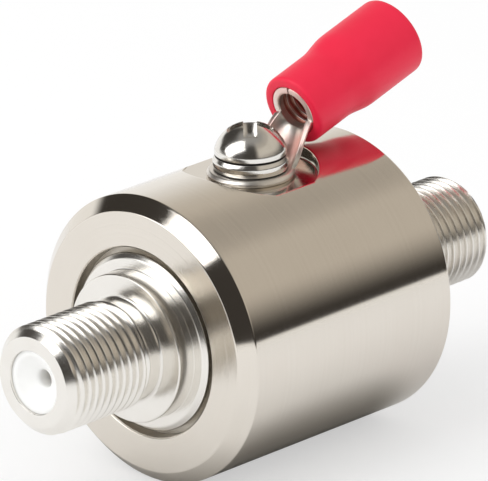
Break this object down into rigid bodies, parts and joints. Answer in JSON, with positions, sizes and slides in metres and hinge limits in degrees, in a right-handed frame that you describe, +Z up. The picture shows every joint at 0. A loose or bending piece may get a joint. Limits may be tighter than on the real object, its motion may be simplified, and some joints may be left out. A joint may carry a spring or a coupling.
{
  "type": "coax lightning arrestor",
  "caption": "In-line coaxial surge arrestor: round metal drum with a threaded port at each end, a gas discharge tube inside, and a screw-held ring terminal with a red sleeve for the ground wire.",
  "frame": {"origin": "on the drum's axis, at the middle of the front port's thread", "axes": "+X runs along the drum's axis to the rear port, -X points out of the front port, +Z is up along the ground screw"},
  "size_m": [0.0505, 0.025, 0.0351],
  "materials": {
    "drum_nickel": "satin nickel plate over turned brass",
    "port_nickel": "bright nickel plate over turned brass",
    "insulator_white": "moulded, semi-matt",
    "contact_brass": "bright",
    "tube_ceramic": "fired ceramic, opaque",
    "tube_cap": "nickel plated",
    "spring_bronze": "rolled bronze strip",
    "terminal_tin": "tinned copper sheet",
    "sleeve_red": "soft vinyl, semi-gloss",
    "screw_nickel": "bright nickel plated steel"
  },
  "bodies": {
    "drum": {"drum_body": "drum_nickel", "front_port": "port_nickel", "rear_port": "port_nickel", "front_insulator": "insulator_white", "rear_insulator": "insulator_white", "front_contact": "contact_brass", "rear_contact": "contact_brass", "centre_rod": "contact_brass", "gas_tube_barrel": "tube_ceramic", "gas_tube_inner_cap": "tube_cap", "gas_tube_outer_cap": "tube_cap", "tube_spring": "spring_bronze"},
    "terminal": {"ring_terminal": "terminal_tin", "terminal_sleeve": "sleeve_red"},
    "washer": {"spring_washer": "screw_nickel"},
    "screw": {"ground_screw": "screw_nickel"}
  },
  "joints": [
    {"name": "terminal_swivel", "type": "hinge", "parent": "drum", "child": "terminal", "pos_m": [0.02114, 0, 0.01135], "axis": [0, 0, 1], "continuous": true},
    {"name": "screw_turn", "type": "hinge", "parent": "drum", "child": "washer", "pos_m": [0.02114, 0, 0.01195], "axis": [0, 0, 1], "range_deg": [0, 2165]},
    {"name": "screw_lift", "type": "slide", "parent": "washer", "child": "screw", "axis": [0, 0, 1], "range_m": [0, 0.0042]}
  ],
  "couplings": [
    {"joint": "screw_turn", "follows": "screw_lift", "rad_per_m": 8976}
  ]
}
